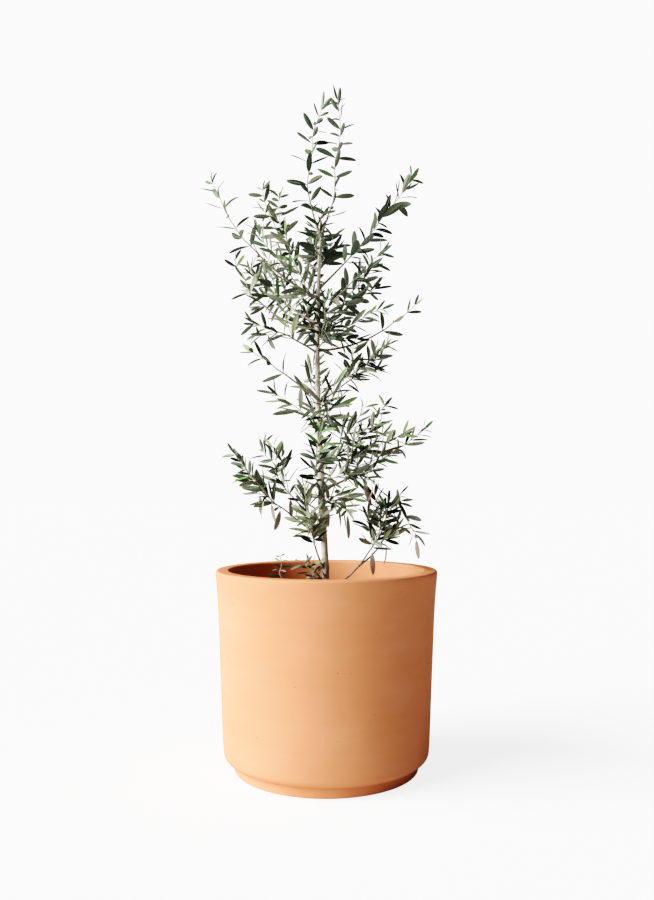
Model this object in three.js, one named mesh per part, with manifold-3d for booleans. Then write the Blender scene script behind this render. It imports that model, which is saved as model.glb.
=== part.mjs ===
// A young olive tree in a clay pot, as one assembly of closed solids: pot, soil, trunk, boughs, leaf masses.
// Millimetres, +Z up. The origin is the centre of the pot's flat underside and -Y is the front.
// Headings are degrees seen from above: 0 right (+X), 90 back (+Y), 180 left, 270 front.

import * as THREE from 'three';
import Module from 'manifold-3d';

const wasm = await Module();
wasm.setup();

const clearance = 0.3;                 // gap left between solids that touch

// Pot
const rimRadius = 190;
const rimHeight = 340;
const wallThickness = 23.5;
const floorThickness = 26;
const waistRadius = 181;               // outside, half way down
const hipRadius = 176;                 // outside, just above the rounded lower corner
const footRadius = 158;
const footHeight = 18.5;
const lipRounding = 7;
const cornerRounding = 15;
const innerCornerRounding = 20;
const innerRimRadius = rimRadius - wallThickness;
const innerTaper = 9;                  // how much narrower the hollow is at its floor
const potSides = 40;

// Soil
const soilDepth = 57;                  // from the rim down to the soil
const soilTop = rimHeight - soilDepth;
const soilFall = 5;                    // how much lower the soil lies at the wall
const soilLevelRadius = 95;            // the soil is level this far from the trunk

// Trunk
const trunkFoot = soilTop + clearance;
const forkHeight = 918;
const trunkLean = -9.5;                // sideways shift of the fork from the foot
const trunkBow = -9.4;                 // widest departure from that straight lean
const trunkSway = 5;                   // departure forward and back
const trunkFootRadius = 6.4;
const trunkForkRadius = 2.7;
const flareRadius = 2.8;
const flareHeight = 16;
const trunkSides = 10;
const trunkRings = 20;

// Limbs and leaf masses
const limbSides = 5;
const limbStep = 26;                   // length between the rings of a limb
const thinnestLimb = 1;
const girthPerReach = 0.0072;          // a longer limb is thicker at its foot
const limbTipRadius = 1.1;
const socketDepth = 7;                 // how far a limb's tip stands in its leaf mass
const massSides = 7;
const massRings = 6;
const lobeLength = 46;                 // from one swelling of a mass to the next
const pathSteps = 48;
const finest = 0.12;                   // corners and edges finer than this are smoothed off cut pieces

// Each branch leaves the trunk at the height `from`, or leaves the limb `on` at the share `at` of its reach.
// heading and rise each give its direction at the start and at the tip, and it bends evenly between them.
// Its first part, the share `bare` of its reach, is a limb. Leaves fill the rest, out to the radius `spread`.
// A branch that is bare for 0 of its reach is leafy from the trunk on, and has no limb of its own.
const branches = [
  // the two leaders
  {
    name: 'leader-left', from: 914,
    heading: [195, 195], rise: [66, 118], reach: 247, bare: 0.16, spread: 26,
  },
  {
    name: 'leader-right', from: 914,
    heading: [18, 38], rise: [68, 98], reach: 259, bare: 0.12, spread: 29,
  },
  // long shoots that stand out of the crown
  { name: 'upper-right', from: 822, heading: [10, 6], rise: [44, 58], reach: 272, bare: 0.22, spread: 30 },
  {
    name: 'upper-left', from: 806,
    heading: [192, 188], rise: [24, 70], reach: 282, bare: 0.42, spread: 29,
  },
  { name: 'top-left', from: 855, heading: [140, 170], rise: [30, 80], reach: 216, bare: 0.35, spread: 34 },
  { name: 'left-hook', from: 751, heading: [165, 178], rise: [8, 80], reach: 218, bare: 0.5, spread: 40 },
  { name: 'right-tip', from: 716, heading: [16, 7], rise: [4, 54], reach: 214, bare: 0.55, spread: 23 },
  // the head of the crown
  { name: 'crown-front', from: 861, heading: [262, 285], rise: [50, 30], reach: 118, bare: 0, spread: 38 },
  { name: 'crown-back', from: 849, heading: [75, 111], rise: [46, 36], reach: 190, bare: 0, spread: 36 },
  { name: 'left-front', from: 803, heading: [222, 214], rise: [20, 56], reach: 172, bare: 0, spread: 42 },
  { name: 'left-back', from: 763, heading: [143, 150], rise: [25, 55], reach: 205, bare: 0.28, spread: 44 },
  { name: 'left-low', from: 712, heading: [201, 196], rise: [30, 8], reach: 136, bare: 0.28, spread: 40 },
  {
    name: 'right-front', from: 775,
    heading: [333, 334], rise: [38, 38], reach: 166, bare: 0.38, spread: 36,
  },
  { name: 'right-back', from: 754, heading: [45, 41], rise: [33, 56], reach: 202, bare: 0.3, spread: 44 },
  { name: 'right-low', from: 723, heading: [333, 353], rise: [32, 18], reach: 144, bare: 0, spread: 30 },
  { name: 'upper-back', from: 737, heading: [90, 99], rise: [28, 62], reach: 228, bare: 0, spread: 44 },
  { name: 'upper-front', from: 716, heading: [282, 272], rise: [12, 44], reach: 156, bare: 0, spread: 38 },
  // the middle of the tree
  {
    name: 'mid-right-front', from: 637,
    heading: [336, 337], rise: [30, 34], reach: 162, bare: 0.26, spread: 38,
  },
  {
    name: 'mid-right-back', from: 627,
    heading: [38, 37], rise: [28, 49], reach: 184, bare: 0.34, spread: 34,
  },
  { name: 'left-twig', from: 633, heading: [200, 193], rise: [34, 35], reach: 150, bare: 0.45, spread: 22 },
  { name: 'mid-left', from: 585, heading: [158, 165], rise: [40, 34], reach: 118, bare: 0, spread: 28 },
  { name: 'mid-front', from: 578, heading: [283, 287], rise: [25, 40], reach: 142, bare: 0, spread: 32 },
  { name: 'mid-back', from: 595, heading: [107, 77], rise: [28, 61], reach: 187, bare: 0, spread: 36 },
  // the wide lower part
  {
    name: 'low-right-front', from: 492,
    heading: [331, 327], rise: [4, 68], reach: 200, bare: 0, spread: 48,
  },
  { name: 'low-right-back', from: 506, heading: [36, 37], rise: [35, 46], reach: 204, bare: 0, spread: 40 },
  {
    name: 'low-right-tip', from: 475,
    heading: [357, 370], rise: [23, 40], reach: 224, bare: 0.56, spread: 32,
  },
  { name: 'low-front', from: 475, heading: [259, 282], rise: [33, 47], reach: 164, bare: 0, spread: 38 },
  {
    name: 'low-left-front', from: 392,
    heading: [200, 202], rise: [31, 54], reach: 230, bare: 0.36, spread: 41,
  },
  {
    name: 'low-left-back', from: 418,
    heading: [158, 130], rise: [30, 67], reach: 210, bare: 0.34, spread: 40,
  },
  { name: 'low-back', from: 443, heading: [95, 79], rise: [32, 57], reach: 182, bare: 0, spread: 38 },
  { name: 'low-hanging', from: 440, heading: [312, 292], rise: [60, -60], reach: 128, bare: 0, spread: 27 },
  // shoots from the foot of the trunk
  {
    name: 'foot-front', from: 335,
    heading: [226, 226], rise: [52, 110], reach: 176, bare: 0.28, spread: 34,
  },
  {
    name: 'foot-right', from: 300,
    heading: [350, 350], rise: [28, 92], reach: 216, bare: 0.46, spread: 38,
  },
  {
    name: 'foot-right-outer', on: 'foot-right', at: 0.34,
    heading: [4, 14], rise: [32, 104], reach: 158, bare: 0.34, spread: 34,
  },
  { name: 'foot-low', from: 304, heading: [196, 196], rise: [40, 70], reach: 86, bare: 0, spread: 25 },
];

// A shoot that stands on its own in the soil, left of the trunk
const soilShoot = {
  name: 'soil-shoot', foot: [-74, 14], heading: [160, 160], rise: [82, 90], reach: 86, bare: 0.4, spread: 27,
};

const degrees = (angle) => THREE.MathUtils.degToRad(angle);

// ---- paths ----

function trunkCentre(height) {
  const share = (height - trunkFoot) / (forkHeight - trunkFoot);
  const rising = THREE.MathUtils.clamp(share, 0, 1);
  const bow = trunkBow * Math.sin(Math.PI * rising ** 1.4);
  const sway = trunkSway * Math.sin(2 * Math.PI * rising);
  return new THREE.Vector3(trunkLean * rising + bow, sway, height);
}

function trunkRadius(height) {
  const share = (height - trunkFoot) / (forkHeight - trunkFoot);
  const taper = THREE.MathUtils.lerp(trunkFootRadius, trunkForkRadius, share);
  return taper + flareRadius * Math.exp(-(height - trunkFoot) / flareHeight);
}

const between = (ends, share) => THREE.MathUtils.lerp(ends[0], ends[1], share);

function directionOf(branch, share) {
  const heading = degrees(between(branch.heading, share));
  const rise = degrees(between(branch.rise, share));
  const level = Math.cos(rise);
  return new THREE.Vector3(Math.cos(heading) * level, Math.sin(heading) * level, Math.sin(rise));
}

function pathOf(branch) {
  const points = [startOf(branch)];
  const step = branch.reach / pathSteps;
  for (let i = 0; i < pathSteps; i += 1) {
    const along = directionOf(branch, (i + 0.5) / pathSteps);
    points.push(points[i].clone().addScaledVector(along, step));
  }
  return points;
}

function startOf(branch) {
  if (branch.foot) {
    return new THREE.Vector3(branch.foot[0], branch.foot[1], soilTop - clearance);
  }
  if (branch.on) {
    const carrier = branches.find((other) => other.name === branch.on);
    return pointAt(pathOf(carrier), branch.at);
  }
  return trunkCentre(branch.from);
}

function pointAt(path, share) {
  const place = THREE.MathUtils.clamp(share, 0, 1) * (path.length - 1);
  const index = Math.min(Math.floor(place), path.length - 2);
  return path[index].clone().lerp(path[index + 1], place - index);
}

// ---- closed solids from rings ----

// Joins rings of equal count by strips, and closes both ends by a fan round a pole
function loft(rings, firstPole, lastPole) {
  const sides = rings[0].length;
  const points = [...rings.flat(), firstPole, lastPole];
  const triangles = [];
  const first = points.length - 2;
  const last = points.length - 1;
  const lastRing = (rings.length - 1) * sides;
  for (let side = 0; side < sides; side += 1) {
    const next = (side + 1) % sides;
    triangles.push(first, next, side);
    triangles.push(last, lastRing + side, lastRing + next);
    for (let ring = 0; ring < rings.length - 1; ring += 1) {
      const low = ring * sides;
      const high = low + sides;
      triangles.push(low + side, low + next, high + next);
      triangles.push(low + side, high + next, high + side);
    }
  }
  return solidOf(points, triangles);
}

function solidOf(points, triangles) {
  const mesh = new wasm.Mesh({
    numProp: 3,
    vertProperties: new Float32Array(points.flatMap((point) => [point.x, point.y, point.z])),
    triVerts: new Uint32Array(triangles),
  });
  return new wasm.Manifold(mesh);
}

// One ring of a limb or mass, square to its path. radiusOf gives the radius for each angle.
function ringAt(branch, path, share, sides, radiusOf) {
  const centre = pointAt(path, share);
  const along = directionOf(branch, share);
  const heading = degrees(between(branch.heading, share));
  const across = new THREE.Vector3(-Math.sin(heading), Math.cos(heading), 0);
  const over = new THREE.Vector3().crossVectors(along, across);
  const ring = [];
  for (let side = 0; side < sides; side += 1) {
    const angle = (2 * Math.PI * side) / sides;
    const radius = radiusOf(angle);
    const point = centre.clone();
    point.addScaledVector(across, radius * Math.cos(angle));
    point.addScaledVector(over, radius * Math.sin(angle));
    ring.push(point);
  }
  return ring;
}

function latheSolid(profile, sides) {
  const points = [];
  const triangles = [];
  for (let side = 0; side < sides; side += 1) {
    const angle = (2 * Math.PI * side) / sides;
    for (const [radius, height] of profile) {
      points.push(new THREE.Vector3(radius * Math.cos(angle), radius * Math.sin(angle), height));
    }
  }
  const count = profile.length;
  for (let side = 0; side < sides; side += 1) {
    const here = side * count;
    const there = ((side + 1) % sides) * count;
    for (let i = 0; i < count - 1; i += 1) {
      triangles.push(here + i, there + i, there + i + 1);
      triangles.push(here + i, there + i + 1, here + i + 1);
    }
  }
  // the profile's two ends are closed by fans on the axis
  const bottom = points.push(new THREE.Vector3(0, 0, profile[0][1])) - 1;
  const top = points.push(new THREE.Vector3(0, 0, profile[count - 1][1])) - 1;
  for (let side = 0; side < sides; side += 1) {
    const here = side * count;
    const there = ((side + 1) % sides) * count;
    triangles.push(bottom, there, here);
    triangles.push(top, here + count - 1, there + count - 1);
  }
  return solidOf(points, triangles);
}

function roundedCorner(centreRadius, centreHeight, rounding, fromAngle, toAngle, steps) {
  const corner = [];
  for (let i = 0; i <= steps; i += 1) {
    const angle = degrees(THREE.MathUtils.lerp(fromAngle, toAngle, i / steps));
    corner.push([centreRadius + rounding * Math.cos(angle), centreHeight + rounding * Math.sin(angle)]);
  }
  return corner;
}

// ---- pot, soil and trunk ----

function innerRadiusAt(height) {
  const share = (height - floorThickness) / (rimHeight - floorThickness);
  return innerRimRadius - innerTaper * (1 - share);
}

// The hollow's lower corner and floor, moved inward by a gap
function innerProfile(gap) {
  const rounding = innerCornerRounding;
  const centreRadius = innerRadiusAt(floorThickness + rounding) - rounding;
  return roundedCorner(centreRadius, floorThickness + rounding, rounding - gap, 0, -90, 2);
}

function potSolid() {
  const profile = [
    [footRadius, 0],
    [footRadius, footHeight],
    ...roundedCorner(hipRadius - cornerRounding, footHeight + cornerRounding, cornerRounding, -75, 0, 3),
    [waistRadius, rimHeight / 2],
    ...roundedCorner(rimRadius - lipRounding, rimHeight - lipRounding, lipRounding, 0, 90, 3),
    ...roundedCorner(innerRimRadius + lipRounding, rimHeight - lipRounding, lipRounding, 90, 180, 2),
    ...innerProfile(0),
  ];
  return latheSolid(profile, potSides);
}

// The soil fills the pot's hollow from its floor, clear of the wall
function soilSolid() {
  const edgeHeight = soilTop - soilFall;
  const profile = innerProfile(clearance).reverse();
  profile.push([innerRadiusAt(edgeHeight) - clearance, edgeHeight], [soilLevelRadius, soilTop]);
  return latheSolid(profile, potSides);
}

function trunkSolid(growth) {
  const rings = [];
  for (let i = 0; i <= trunkRings; i += 1) {
    // rings stand closer together at the flare
    const share = (i / trunkRings) ** 1.35;
    const height = THREE.MathUtils.lerp(trunkFoot, forkHeight, share);
    const centre = trunkCentre(height);
    const radius = trunkRadius(height) + growth;
    const flare = Math.exp(-(height - trunkFoot) / flareHeight);
    const ring = [];
    for (let side = 0; side < trunkSides; side += 1) {
      const angle = (2 * Math.PI * side) / trunkSides;
      const ribs = 0.05 * Math.sin(3 * angle + height / 60);
      const roots = 0.16 * flare * Math.sin(3 * angle + 0.6);
      const outward = new THREE.Vector3(Math.cos(angle), Math.sin(angle), 0);
      ring.push(centre.clone().addScaledVector(outward, radius * (1 + ribs + roots)));
    }
    rings.push(ring);
  }
  const top = trunkCentre(forkHeight);
  top.z += growth + 1;
  return loft(rings, trunkCentre(trunkFoot), top);
}

// ---- limbs and leaf masses ----

function limbSolid(branch, growth) {
  const path = pathOf(branch);
  const length = branch.reach * branch.bare + socketDepth;
  const steps = Math.max(3, Math.round(length / limbStep));
  const girth = thinnestLimb + branch.reach * girthPerReach;
  const rings = [];
  for (let i = 0; i <= steps; i += 1) {
    const share = ((i / steps) * length) / branch.reach;
    const radius = between([girth, limbTipRadius], i / steps) + growth;
    rings.push(ringAt(branch, path, share, limbSides, () => radius));
  }
  const tipShare = length / branch.reach;
  const first = pointAt(path, 0).addScaledVector(directionOf(branch, 0), -growth);
  const last = pointAt(path, tipShare).addScaledVector(directionOf(branch, tipShare), 0.2 + growth);
  return loft(rings, first, last);
}

// A leaf mass is an uneven spindle round the leafy part of its branch
function massSolid(branch, growth) {
  const path = pathOf(branch);
  const phase = branch.reach * 0.37 + branch.heading[0] * 0.11;
  const lobes = (branch.reach * (1 - branch.bare)) / lobeLength;
  const rings = [];
  for (let i = 0; i < massRings; i += 1) {
    const inside = (i + 0.55) / (massRings + 0.1);
    const share = THREE.MathUtils.lerp(branch.bare, 1, inside);
    const fullness = (1 - Math.abs(2 * inside - 1) ** 2.3) ** 0.55;
    const lobed = 1 + 0.1 * Math.sin(2 * Math.PI * lobes * inside + phase);
    const radiusOf = (angle) => {
      const threeSided = 0.14 * Math.sin(3 * angle + phase + 4 * inside);
      const flattened = 0.08 * Math.sin(2 * angle - phase - 5 * inside);
      return branch.spread * fullness * lobed * (1 + threeSided + flattened) + growth;
    };
    rings.push(ringAt(branch, path, share, massSides, radiusOf));
  }
  const first = pointAt(path, branch.bare).addScaledVector(directionOf(branch, branch.bare), -growth);
  const last = pointAt(path, 1).addScaledVector(directionOf(branch, 1), growth);
  return loft(rings, first, last);
}

// ---- cutting pieces round each other ----

function overlaps(one, other) {
  const a = one.boundingBox();
  const b = other.boundingBox();
  return [0, 1, 2].every((axis) => a.min[axis] < b.max[axis] && b.min[axis] < a.max[axis]);
}

function largestBody(solid) {
  const bodies = solid.decompose();
  return bodies.reduce((best, body) => (body.volume() > best.volume() ? body : best));
}

function cutRound(solid, others) {
  let cut = solid;
  for (const other of others) {
    if (overlaps(cut, other)) {
      cut = cut.subtract(other);
    }
  }
  return largestBody(cut).simplify(finest);
}

// ---- materials ----

const materials = {
  pot: new THREE.MeshStandardMaterial({ color: 0xe3a87c, roughness: 0.85, metalness: 0 }),
  soil: new THREE.MeshStandardMaterial({ color: 0x4a3a2c, roughness: 1, metalness: 0 }),
  bark: new THREE.MeshStandardMaterial({ color: 0xa8937c, roughness: 0.9, metalness: 0 }),
  leaves: new THREE.MeshStandardMaterial({ color: 0x5d7058, roughness: 0.6, metalness: 0 }),
};

function namedMesh(name, solid, material) {
  const { vertProperties, triVerts } = solid.getMesh();
  const geometry = new THREE.BufferGeometry();
  geometry.setAttribute('position', new THREE.BufferAttribute(vertProperties, 3));
  geometry.setIndex(new THREE.BufferAttribute(triVerts, 1));
  geometry.computeVertexNormals();
  const mesh = new THREE.Mesh(geometry, material);
  mesh.name = name;
  return mesh;
}

// ---- the assembly ----

function buildTree() {
  const group = new THREE.Group();
  group.add(namedMesh('pot', potSolid(), materials.pot));
  group.add(namedMesh('soil', soilSolid(), materials.soil));
  group.add(namedMesh('trunk', trunkSolid(0), materials.bark));

  const wood = [trunkSolid(clearance)];
  const all = [...branches, soilShoot];
  const ground = latheSolid([[soilLevelRadius, soilTop / 2], [soilLevelRadius, trunkFoot]], potSides);
  for (const branch of all) {
    if (branch.bare > 0) {
      const limb = cutRound(limbSolid(branch, 0), [...wood, ground]);
      group.add(namedMesh(`bough-${branch.name}`, limb, materials.bark));
      wood.push(limbSolid(branch, clearance));
    }
  }
  const grownMasses = [];
  for (const branch of all) {
    const mass = cutRound(massSolid(branch, 0), [...wood, ...grownMasses]);
    group.add(namedMesh(`leaves-${branch.name}`, mass, materials.leaves));
    grownMasses.push(massSolid(branch, clearance));
  }
  return group;
}

export default buildTree();
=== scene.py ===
import math
import random
from collections import Counter
import bpy
import numpy as np
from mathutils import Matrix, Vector, noise
from mathutils.bvhtree import BVHTree


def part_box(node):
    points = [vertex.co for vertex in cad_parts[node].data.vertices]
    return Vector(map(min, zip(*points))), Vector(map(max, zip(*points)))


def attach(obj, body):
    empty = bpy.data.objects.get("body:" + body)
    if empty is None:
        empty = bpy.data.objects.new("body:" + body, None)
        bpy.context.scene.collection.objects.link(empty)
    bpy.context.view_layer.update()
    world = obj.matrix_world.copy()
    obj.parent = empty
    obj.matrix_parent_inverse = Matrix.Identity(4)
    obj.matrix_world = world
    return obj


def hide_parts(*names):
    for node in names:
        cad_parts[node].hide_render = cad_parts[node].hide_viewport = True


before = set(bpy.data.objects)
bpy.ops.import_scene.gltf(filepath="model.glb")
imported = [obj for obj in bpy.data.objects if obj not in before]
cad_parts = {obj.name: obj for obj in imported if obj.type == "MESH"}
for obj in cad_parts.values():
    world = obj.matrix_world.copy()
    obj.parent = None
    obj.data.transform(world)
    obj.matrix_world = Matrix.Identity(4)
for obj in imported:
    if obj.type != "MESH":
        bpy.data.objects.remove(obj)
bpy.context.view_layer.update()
mm = 0.001
up = Vector((0, 0, 1))
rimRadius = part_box("pot")[1].x
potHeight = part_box("pot")[1].z
print("frame loaded:", len(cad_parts), "nodes")


def nodePoints(name):
    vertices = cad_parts[name].data.vertices
    points = np.zeros(len(vertices) * 3, np.float32)
    vertices.foreach_get("co", points)
    return points.reshape(-1, 3).astype(float)


def addObject(name, data):
    made = bpy.data.objects.new(name, data)
    bpy.context.scene.collection.objects.link(made)
    return made


def makePiece(name, points, faces, materials, indices=None, sharpAngle=60):
    mesh = bpy.data.meshes.new(name)
    mesh.from_pydata(np.asarray(points, float).tolist(), [], faces)
    for material in materials:
        mesh.materials.append(material)
    if indices is not None:
        mesh.polygons.foreach_set("material_index", np.asarray(indices, np.int32))
    mesh.shade_smooth()
    mesh.set_sharp_from_angle(angle=math.radians(sharpAngle))
    mesh.update()
    return addObject(name, mesh)


# Every piece rides on the one body, and most stand for CAD nodes
def fit(piece, slotName, *nodes):
    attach(piece, "root")
    if nodes:
        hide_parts(*nodes)
    print("made", piece.name, "with", len(piece.data.polygons), "faces")


# A smooth line through a few points, with its own points at even steps
def smoothLine(points, step):
    cuts = 12  # between two given points
    points = [Vector(p) for p in points]
    padded = [points[0] * 2 - points[1]] + points + [points[-1] * 2 - points[-2]]
    line = []
    for i in range(len(points) - 1):
        a, b, c, d = padded[i:i + 4]
        for k in range(cuts):
            t = k / cuts
            line.append(0.5 * ((2 * b) + (c - a) * t + (2 * a - 5 * b + 4 * c - d) * t ** 2
                               + (3 * b - a - 3 * c + d) * t ** 3))
    line.append(points[-1])
    return resample(line, step)


def resample(line, step):
    line = np.array([tuple(p) for p in line])
    gaps = np.linalg.norm(np.diff(line, axis=0), axis=1)
    along = np.concatenate([[0], np.cumsum(gaps)])
    count = max(3, int(round(along[-1] / step)) + 1)
    places = np.linspace(0, along[-1], count)
    return [Vector([np.interp(s, along, line[:, k]) for k in range(3)]) for s in places]


def lineLength(line):
    return sum((b - a).length for a, b in zip(line, line[1:]))


# Two directions square to a line at each of its points, carried along it without twisting
def framesAlong(line):
    frames = []
    side = None
    for i, point in enumerate(line):
        before = line[max(i - 1, 0)]
        after = line[min(i + 1, len(line) - 1)]
        ahead = (after - before).normalized()
        if side is None:
            side = ahead.orthogonal().normalized()
        side = (side - ahead * side.dot(ahead)).normalized()
        frames.append((ahead, side, ahead.cross(side)))
    return frames


# The faces from a ring of points out to the next one
def ringFaces(a, b, sides):
    return [(a + k, b + k, b + (k + 1) % sides, a + (k + 1) % sides) for k in range(sides)]


# The faces of a tube whose rings of points follow each other, with a cap at each end
def tubeFaces(first, rings, sides):
    faces = []
    for i in range(rings - 1):
        low = first + i * sides
        for k in range(sides):
            n = (k + 1) % sides
            faces.append((low + k, low + n, low + sides + n, low + sides + k))
    last = first + (rings - 1) * sides
    faces.append(tuple(first + k for k in reversed(range(sides))))
    faces.append(tuple(last + k for k in range(sides)))
    return faces


# Many tubes in one mesh: the trunk, the boughs or the twigs
class Tubes:
    def __init__(self):
        self.points = []
        self.faces = []
        self.indices = []

    # radiusOf(i, angle) gives the radius at point i of the line
    def add(self, line, radiusOf, sides, index=0):
        first = len(self.points)
        for i, (point, (ahead, side, over)) in enumerate(zip(line, framesAlong(line))):
            for k in range(sides):
                angle = 2 * math.pi * k / sides
                radius = radiusOf(i, angle)
                spoke = side * (radius * math.cos(angle))
                self.points.append(point + spoke + over * (radius * math.sin(angle)))
        faces = tubeFaces(first, len(line), sides)
        self.faces += faces
        self.indices += [index] * len(faces)

    def piece(self, name, materials):
        return makePiece(name, self.points, self.faces, materials, self.indices, sharpAngle=70)


# A material and its shader. Underscores stand for spaces in the sockets' names.
def newMaterial(name, **sockets):
    material = bpy.data.materials.new(name)
    material.use_nodes = True
    shader = material.node_tree.nodes["Principled BSDF"]
    for socket, value in sockets.items():
        shader.inputs[socket.replace("_", " ")].default_value = value
    return material, shader


def plainMaterial(name, colour, roughness, **sockets):
    return newMaterial(name, Base_Color=(*colour, 1), Roughness=roughness, **sockets)[0]


# A node whose inputs are given as values or as other nodes' sockets
def addNode(material, kind, inputs=None, **settings):
    node = material.node_tree.nodes.new(kind)
    for key, value in settings.items():
        setattr(node, key, value)
    for key, value in (inputs or {}).items():
        if isinstance(value, bpy.types.NodeSocket):
            material.node_tree.links.new(value, node.inputs[key])
        else:
            node.inputs[key].default_value = value
    return node


# Turns a number into a colour, by stops of a place and a colour
def rampOf(material, value, stops):
    node = addNode(material, "ShaderNodeValToRGB", {"Fac": value})
    elements = node.color_ramp.elements
    while len(elements) < len(stops):
        elements.new(0.5)
    for element, (place, colour) in zip(elements, stops):
        element.position = place
        element.color = (*colour, 1)
    return node.outputs["Color"]


# Two numbers added up by their shares
def blendOf(material, first, firstShare, second, secondShare):
    part = addNode(material, "ShaderNodeMath", {0: first, 1: firstShare}, operation="MULTIPLY")
    both = addNode(material, "ShaderNodeMath", {0: second, 1: secondShare, 2: part.outputs["Value"]},
                   operation="MULTIPLY_ADD")
    return both.outputs["Value"]


def bumpOf(material, height, strength, distance, **under):
    inputs = {"Height": height, "Strength": strength, "Distance": distance, **under}
    return addNode(material, "ShaderNodeBump", inputs).outputs["Normal"]


def paint(material, shader, colour, normal=None):
    links = material.node_tree.links
    links.new(colour, shader.inputs["Base Color"])
    if normal:
        links.new(normal, shader.inputs["Normal"])
    return material


# Noise in the object's own space, stretched by a scale for each axis
def stretchedNoise(material, stretch, scale, detail, roughness=0.5):
    place = addNode(material, "ShaderNodeTexCoord").outputs["Object"]
    mapped = addNode(material, "ShaderNodeMapping", {"Vector": place, "Scale": stretch})
    inputs = {"Vector": mapped.outputs["Vector"], "Scale": scale, "Detail": detail, "Roughness": roughness}
    return addNode(material, "ShaderNodeTexNoise", inputs).outputs["Fac"]


view = {
    "distance": 7.63,  # from the pot's axis, in rim radii
    "height": 2.516,  # in rim radii
    "lens": 33.58,
    "sensor": 36,
    "shiftUp": 0.0432,
    "shiftRight": 0.0007,
}

light = {
    "sunStrength": 8.3,
    "sunHeading": 197,  # where the light comes from: 180 is left, 270 front
    "sunRise": 23,
    "sunSoftness": 58,
    "sunColour": (1, 0.985, 0.97),
    "room": 0.085,  # dim light from all round
    "backdrop": 1.47,  # how bright the white backdrop looks
    # a brightness in the scene and the one it is shown with
    "toneCurve": ((0.02, 0.0055), (0.05, 0.026), (0.09, 0.073), (0.14, 0.15), (0.25, 0.312),
                  (0.5, 0.56), (0.75, 0.72), (1, 0.84), (1.25, 0.92), (1.5, 0.962)),
}

floor = {
    "size": 60,
    "drop": 0.2 * mm,  # below the pot's foot
    "colour": (0.74, 0.74, 0.74, 1),  # what it throws back onto the pot
    "seenGlow": 2.49,  # how white the camera sees it
    "seenShadow": 0.6,  # how much of its shadows the camera sees
}


def makeCamera():
    data = bpy.data.cameras.new("camera")
    data.sensor_fit = "VERTICAL"
    data.sensor_height = view["sensor"]
    data.lens = view["lens"]
    data.shift_x = view["shiftRight"]
    data.shift_y = view["shiftUp"]
    camera = addObject("camera", data)
    camera.location = (0, -view["distance"] * rimRadius, view["height"] * rimRadius)
    camera.rotation_euler = (math.radians(90), 0, 0)
    bpy.context.scene.camera = camera


def makeLight():
    data = bpy.data.lights.new("window light", "SUN")
    data.energy = light["sunStrength"]
    data.angle = math.radians(light["sunSoftness"])
    data.color = light["sunColour"]
    sun = addObject("window light", data)
    heading = math.radians(light["sunHeading"])
    rise = math.radians(light["sunRise"])
    level = math.cos(rise)
    source = Vector((math.cos(heading) * level, math.sin(heading) * level, math.sin(rise)))
    sun.rotation_euler = source.to_track_quat("Z", "Y").to_euler()


# One shader that lights the scene, and another that the camera sees in its place
def shownAs(owner, plain, seen):
    path = addNode(owner, "ShaderNodeLightPath").outputs["Is Camera Ray"]
    return addNode(owner, "ShaderNodeMixShader", {0: path, 1: plain, 2: seen}).outputs[0]


# A dim even room, with a bright white backdrop behind everything
def makeRoom():
    world = bpy.data.worlds.new("studio")
    world.use_nodes = True
    world.node_tree.nodes.clear()
    white = (1, 1, 1, 1)
    room = addNode(world, "ShaderNodeBackground", {"Color": white, "Strength": light["room"]})
    backdrop = addNode(world, "ShaderNodeBackground", {"Color": white, "Strength": light["backdrop"]})
    both = shownAs(world, room.outputs[0], backdrop.outputs[0])
    addNode(world, "ShaderNodeOutputWorld", {"Surface": both})
    bpy.context.scene.world = world


# Deep shadows and a soft white, like a film's
def setTone():
    settings = bpy.context.scene.view_settings
    settings.view_transform = "Standard"
    settings.use_curve_mapping = True
    mapping = settings.curve_mapping
    *tones, brightest = light["toneCurve"]
    mapping.clip_max_x = brightest[0]
    points = mapping.curves[3].points
    points[-1].location = brightest
    for bright, shown in tones:
        points.new(bright, shown)
    mapping.update()


def makeFloor():
    half = floor["size"] / 2
    corners = ((-half, -half), (half, -half), (half, half), (-half, half))
    points = [(x, y, -floor["drop"]) for x, y in corners]
    material, shader = newMaterial("studio floor", Base_Color=floor["colour"], Roughness=0.9)
    glow = addNode(material, "ShaderNodeEmission", {"Strength": floor["seenGlow"]})
    paper = addNode(material, "ShaderNodeBsdfDiffuse", {"Color": floor["colour"]})
    seen = addNode(material, "ShaderNodeMixShader", {
        0: floor["seenShadow"], 1: glow.outputs[0], 2: paper.outputs[0]})
    both = shownAs(material, shader.outputs["BSDF"], seen.outputs[0])
    out = material.node_tree.nodes["Material Output"]
    material.node_tree.links.new(both, out.inputs["Surface"])
    makePiece("floor", points, [(0, 1, 2, 3)], [material])


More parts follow.
